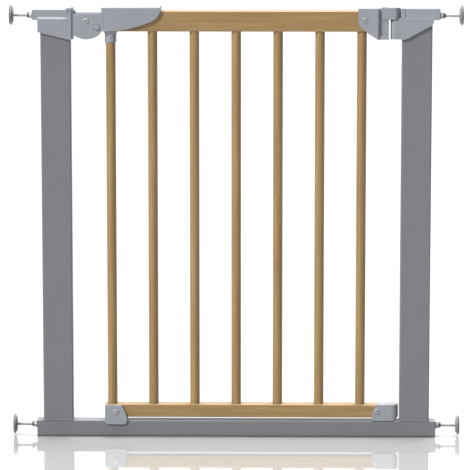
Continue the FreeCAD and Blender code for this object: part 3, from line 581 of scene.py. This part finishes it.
def make_spindle(level, side):
    """Threaded bar, pad cup, rubber pad and adjusting nut of one corner."""
    name = "%s_%s" % (level, side)
    way = OUTWARD[side]
    make_bar(name)
    make_cup(name, way)
    make_rubber(name, way)
    make_nut(name, way)


def inner_face(node, way):
    """The middle of a spindle piece's face nearest the gate, and its length and radius in millimetres."""
    low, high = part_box(node)
    centre = Vector(((low if way > 0 else high).x, 0, middle(node).z))
    return centre, (high.x - low.x) / MM, (high.z - low.z) / 2 / MM


def make_bar(name):
    """The threaded bar, with a one-millimetre pitch."""
    low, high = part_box(name + "_spindle")
    length = high.x - low.x
    pitch = 1.0
    rows = int(length / MM / pitch * 6) + 1
    bar = THREAD.grow(name + "_threaded_bar", Length=length, Radius=(high.z - low.z) / 2, Pitch=pitch * MM,
                      Depth=0.4 * MM, Rows=rows, Finish=ZINC.material)
    bar.transform(Matrix.Translation((low.x, 0, (low.z + high.z) / 2)))
    piece_from(turned_outward(bar), name + "_threaded_bar", name + "_spindle", ZINC, name + "_spindle")


def make_cup(name, way):
    """The pad cup: a shallow dish that widens from a hub to a rounded rim."""
    centre, thick, radius = inner_face(name + "_pad_cup", way)
    hub, flare, rim_round = 4.5, 6.5, 1.7
    profile = [(0, 0), (0, hub), (0.35, flare)]
    profile += quarter((0.5, radius - 4.2), (thick * 0.62, radius), 8)
    profile += quarter((thick * 0.72, radius), (thick, radius - rim_round), 5)
    profile.append((thick, 0))
    cup = bmesh.new()
    revolved(cup, profile, "X", centre, 64, way)
    piece_from(closed_mesh(cup, name + "_cup"), name + "_cup", name + "_spindle", PAD_GREY, name + "_pad_cup")


def make_rubber(name, way):
    """The rubber pad, with three round grooves in the face that meets the wall."""
    root, face, reach = inner_face(name + "_wall_pad", way)
    deep = face - 0.5
    rings = [(0, 0), (0, reach)] + quarter((face * 0.5, reach), (face, reach - 0.8), 4)
    for groove in (11.5, 8.0, 4.5):
        rings += [(face, groove + 0.5), (deep, groove + 0.25), (deep, groove - 0.25), (face, groove - 0.5)]
    rings.append((face, 0))
    rubber = bmesh.new()
    revolved(rubber, rings, "X", root, 64, way)
    piece_from(closed_mesh(rubber, name + "_rubber"), name + "_rubber", name + "_spindle", RUBBER,
               name + "_wall_pad")


def ring_piece(name, body, rings, root, around, way, finish, crease, *nodes):
    """A revolved piece with a bore, sharp where its faces meet at more than a crease in degrees."""
    work = bmesh.new()
    revolved(work, rings, "X", root, around, way)
    bmesh.ops.remove_doubles(work, verts=work.verts, dist=RING_GAP)
    piece = piece_from(closed_mesh(work, name), name, body, finish, *nodes)
    piece.data.set_sharp_from_angle(angle=math.radians(crease))


def make_nut(name, way):
    """The adjusting nut: a chamfered hexagon and the dark nose that locks it on the bar."""
    nut = name + "_nut"
    low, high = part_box(nut)
    root, tall, _ = inner_face(nut, way)
    flat = min(high.y - low.y, high.z - low.z) / 2 / MM
    corner = flat / math.cos(math.pi / 6)
    bore, hex_long, chamfer = 3.1, 4.2, 0.5
    rings = [(0, bore), (0, flat - 0.3), (chamfer, -corner), (hex_long - chamfer, -corner),
             (hex_long, flat - 0.3), (hex_long, bore), (0, bore)]
    ring_piece(name + "_hex_nut", nut, rings, root, 48, way, NUT_GREY, 25, nut)
    skirt, shoulder, tip = 5.0, 3.9, 3.6
    rings = [(hex_long, bore), (hex_long, skirt), (tall - 0.4, shoulder), (tall, tip), (tall, bore),
             (hex_long, bore)]
    ring_piece(name + "_nut_nose", nut, rings, root, 40, way, BLACK, 35)


def make_spring(node, turns, wire):
    """A coil spring that fills its CAD piece along Y; its wire's radius is in millimetres."""
    low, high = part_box(node)
    centre = (low + high) / 2
    tall = high.y - low.y - 2 * wire * MM
    radius = (high.z - low.z) / 2 - wire * MM
    mesh = COIL.grow(node + "_coil", Turns=turns, Radius=radius, Height=tall, Wire=wire * MM,
                     Finish=WIRE.material)
    mesh.transform(Matrix.Rotation(math.radians(-90), 4, "X"))
    mesh.transform(Matrix.Translation((centre.x, low.y + wire * MM, centre.z)))
    return piece_from(turned_outward(mesh), node + "_coil", "panel", WIRE, node)


def make_springs():
    """The handle's return spring and the button's spring."""
    make_spring("handle_spring", 3.6, 0.5)
    coil = make_spring("button_spring", 6, 0.32)
    foot = middle("button_spring")
    foot.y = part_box("button_spring")[1].y
    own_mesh(coil)


def islands(node):
    """The lowest and highest corners of each separate solid of a CAD node."""
    work = without_gaps(frame["nodes"][node].data)
    left = set(work.verts)
    boxes = []
    while left:
        reached = set()
        front = [left.pop()]
        while front:
            vertex = front.pop()
            reached.add(vertex)
            near = {edge.other_vert(vertex) for edge in vertex.link_edges} & left
            left -= near
            front += near
        spans = list(zip(*(vertex.co for vertex in reached)))
        boxes.append([Vector([pick(span) for span in spans]) for pick in (min, max)])
    work.free()
    return sorted(boxes, key=lambda pair: tuple(pair[0]))


def domed_head(height, radius, recess):
    """Profile of a low domed head from its bearing face out to a hexagonal recess."""
    dome = quarter((height * 0.25, radius), (height, radius * 0.45), 5)
    return [(0.0, radius)] + dome + [(height, -recess), (height * 0.3, -recess), (height * 0.3, 0)]


def make_fastener(node, axis, shank, head, heads):
    """Domed screws or through bolts; heads tells at which ends of the axis they sit."""
    number = "XYZ".index(axis)
    chamfer = 0.4
    work = bmesh.new()
    for low, high in islands(node):
        centre = (low + high) / 2
        half = (high[number] - low[number]) / 2 / MM
        wide = max(high[side] - low[side] for side in range(3) if side != number) / 2 / MM
        recess = wide * 0.4
        profile = []
        for way in (-1, 1):
            if way in heads:
                seat = half - head
                dome = domed_head(head, wide, recess)
                run = [(way * seat, shank)] + [(way * (seat + along), radius) for along, radius in dome]
            else:
                run = [(way * (half - chamfer), shank), (way * half, shank - chamfer), (way * half, 0)]
            profile += run[::way]
        revolved(work, profile, axis, centre, 48)
    piece_from(closed_mesh(work, node + "_domed"), node + "_domed", body_of(node), SCREW, node)


def make_fasteners():
    make_fastener("panel_bolts", "Y", 2.0, 1.5, (-1, 1))
    make_fastener("casting_screws", "Y", 2.0, 1.5, (1,))
    make_fastener("knuckle_screw", "Z", 2.0, 1.8, (1,))
    make_fastener("handle_pivot_pin", "Y", 3.0, 1.3, (-1, 1))


def joined(operation, first, second, name):
    """The mesh that a boolean operation leaves of two meshes."""
    base = bpy.data.objects.new(name + "_base", first)
    tool = bpy.data.objects.new(name + "_tool", second)
    for holder in (base, tool):
        bpy.context.scene.collection.objects.link(holder)
    step = base.modifiers.new("join", "BOOLEAN")
    step.operation = operation
    step.object = tool
    step.solver = "EXACT"
    mesh = settled(base, name)
    bpy.data.objects.remove(tool)
    return mesh


def block(low, high, name):
    """A box mesh between two corners in millimetres."""
    work = bmesh.new()
    bmesh.ops.create_cube(work, size=1.0)
    for vertex in work.verts:
        vertex.co = Vector([(low[axis] if vertex.co[axis] < 0 else high[axis]) * MM for axis in range(3)])
    return closed_mesh(work, name)


def side_outline(node, y):
    """The outer loop of a CAD piece's largest flat face at a depth, as points in order."""
    work = without_seams(frame["nodes"][node].data, 0.5)
    flats = [face for face in work.faces if all(abs(corner.co.y - y) < LEVEL_GAP for corner in face.verts)]
    outline = [corner.co.copy() for corner in max(flats, key=lambda face: face.calc_area()).verts]
    work.free()
    return outline


def pillow(outline, half, round_over, wanted, name):
    """A plate of an XZ outline; the rims of its two faces are rounded over where a point test holds."""
    work = bmesh.new()
    front = work.faces.new([work.verts.new((spot.x, -half, spot.z)) for spot in outline])
    grown = bmesh.ops.extrude_face_region(work, geom=[front])["geom"]
    for part in grown:
        if isinstance(part, bmesh.types.BMVert):
            part.co.y = half
    bmesh.ops.recalc_face_normals(work, faces=work.faces)
    rims = [edge for edge in work.edges if edge.verts[0].co.y == edge.verts[1].co.y]
    big = [edge for edge in rims if all(wanted(corner.co) for corner in edge.verts)]
    bmesh.ops.bevel(work, geom=big, offset=round_over, segments=7, profile=0.5, affect="EDGES",
                    clamp_overlap=True)
    return closed_mesh(work, name)


def make_handle():
    """The release handle: a rounded blade, hollow below, on the arm that turns about the pivot."""
    low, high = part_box("release_handle")
    outline = side_outline("release_handle", low.y)
    left = min(spot.x for spot in outline) / MM
    top = high.z / MM
    half = high.y / MM
    end_wall, side_wall, roof = 9, 4.6, 6.4  # thickness left round the blade's hollow
    arm_half, arm_roof = 9, 3.6  # half the arm's room, and how far below the top it ends
    below = 600

    def lower_edge(spot):
        return spot.z < (top - 2.5) * MM and spot.x > (left + 12) * MM

    blade = pillow(outline, high.y, 4.0 * MM, lower_edge, "blade")
    inside = half - side_wall
    hollow = block((left + end_wall, -inside, below), (high.x / MM + 20, inside, top - roof), "hollow")
    shell = joined("DIFFERENCE", blade, hollow, "shell")
    arm_room = block((low.x / MM - 5, -arm_half, below), (left + end_wall + 1, arm_half, top - arm_roof),
                     "arm_room")
    arm = joined("INTERSECT", frame["nodes"]["release_handle"].data.copy(), arm_room, "arm")
    whole = joined("UNION", shell, arm, "release_handle_skin")
    piece = piece_from(whole, "release_handle_skin", "handle", CASTING, "release_handle")
    piece.data.set_sharp_from_angle(angle=math.radians(30))


def make_button():
    """The safety button: a rounded cap with a shallow dish in its face, on its flange."""
    low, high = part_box("thumb_button")
    flange = (high.z - low.z) / 2 / MM
    centre = middle("thumb_button")
    centre.y = high.y
    long = (high.y - low.y) / MM
    radius = flange - 1.6
    rim = radius - 1.6
    profile = [(0, 0), (0, radius), (1.0, radius), (1.0, flange), (2.3, flange), (2.3, radius)]
    profile += quarter((long - 1.3, radius), (long, rim), 5)
    profile += [(long - 0.35, rim - 1.0), (long - 0.5, 0)]
    work = bmesh.new()
    revolved(work, profile, "Y", centre, 48, -1)
    piece_from(closed_mesh(work, "button_cap"), "button_cap", "button", CASTING, "thumb_button")


def weld_tree():
    """A rippled fillet bead along a closed rectangle."""
    tree = Tree("weld_bead", Wide="Float", Deep="Float", Bead="Float", Ripple="Float", Seed="Int",
                Finish="Material")
    given = tree.given.outputs
    path = tree.add("GeometryNodeCurvePrimitiveQuadrilateral", values={
        "Width": given["Wide"], "Height": given["Deep"]})
    soft = tree.add("GeometryNodeFilletCurve", {"mode": "POLY"}, {
        "Curve": path.outputs[0], "Radius": 2.4 * MM, "Count": 6})
    fine = tree.add("GeometryNodeResampleCurve", values={"Curve": soft.outputs[0], "Count": 360})
    at = tree.add("GeometryNodeInputIndex")
    wave = tree.maths("ABSOLUTE", tree.maths("SINE", tree.maths("MULTIPLY", at.outputs[0], math.pi / 5)))
    stray = tree.add("FunctionNodeRandomValue", {"data_type": "FLOAT"}, {"Seed": given["Seed"]})
    uneven = tree.maths("MULTIPLY", stray.outputs[1], 0.12)
    share = tree.maths("ADD", tree.maths("MULTIPLY", wave, given["Ripple"]), uneven)
    radius = tree.maths("MULTIPLY", given["Bead"], tree.maths("ADD", share, 0.8))
    section = tree.add("GeometryNodeCurvePrimitiveCircle", values={"Resolution": 10, "Radius": 1.0})
    swept = tree.add("GeometryNodeCurveToMesh", values={
        "Curve": fine.outputs[0], "Profile Curve": section.outputs[0], "Scale": radius})
    tree.close(swept.outputs[0])
    return tree


def make_welds():
    """A bead where each post stands on the rail."""
    weld = weld_tree()
    rail_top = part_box("bottom_rail")[1].z
    for seed, side in enumerate(OUTWARD):
        low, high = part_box(side + "_post")
        bead = weld.grow(side + "_weld", Wide=high.x - low.x, Deep=high.y - low.y, Bead=0.8 * MM, Ripple=0.25,
                         Seed=seed, Finish=STEEL.material)
        bead.transform(Matrix.Translation(((low.x + high.x) / 2, 0, rail_top)))
        piece_from(turned_outward(bead), side + "_weld_bead", "frame", STEEL)


def dress_cad():
    """Finishes for the CAD pieces whose shape is already right."""
    finishes = {
        STEEL: ["bottom_rail", "left_post", "right_post"],
        BEECH_ALONG: ["top_rail", "bottom_wood_rail"],
        BEECH_UP: ["dowel_%d" % number for number in range(1, 8)],
        ZINC: ["upper_hinge_pin", "lower_hinge_pin", "keeper_screws", "latch_head_screws"],
        BLACK: ["left_rail_plug", "right_rail_plug", "spindle_bushes", "hinge_washers"],
    }
    for finish, nodes in finishes.items():
        for node in nodes:
            wear(frame["nodes"][node], finish)


def lay_floor():
    """A pale, polished floor, which throws back less light than it shows."""
    finish = Finish("floor_white", "none")
    bounce = finish.add("ShaderNodeLightPath", out="Is Diffuse Ray")
    white = finish.blend(bounce, grey(FLOOR_SEEN), grey(FLOOR_BOUNCE))
    finish.shade(Base_Color=white, Roughness=0.05, IOR=2.5, Coat_Weight=1.0, Coat_Roughness=0.02)
    mesh = bpy.data.meshes.new("floor")
    edge = FLOOR_HALF
    mesh.from_pydata([(-edge, -edge, 0), (edge, -edge, 0), (edge, edge, 0), (-edge, edge, 0)],
                     [], [(0, 1, 2, 3)])
    floor = bpy.data.objects.new("floor", mesh)
    floor.location.z = -0.5 * MM
    bpy.context.scene.collection.objects.link(floor)
    floor.data.materials.append(finish.material)


aim_camera()
light_studio()
lay_floor()
dress_cad()
make_castings()
for corner in CORNERS:
    make_spindle(*corner)
make_springs()
make_fasteners()
make_handle()
make_button()
make_welds()
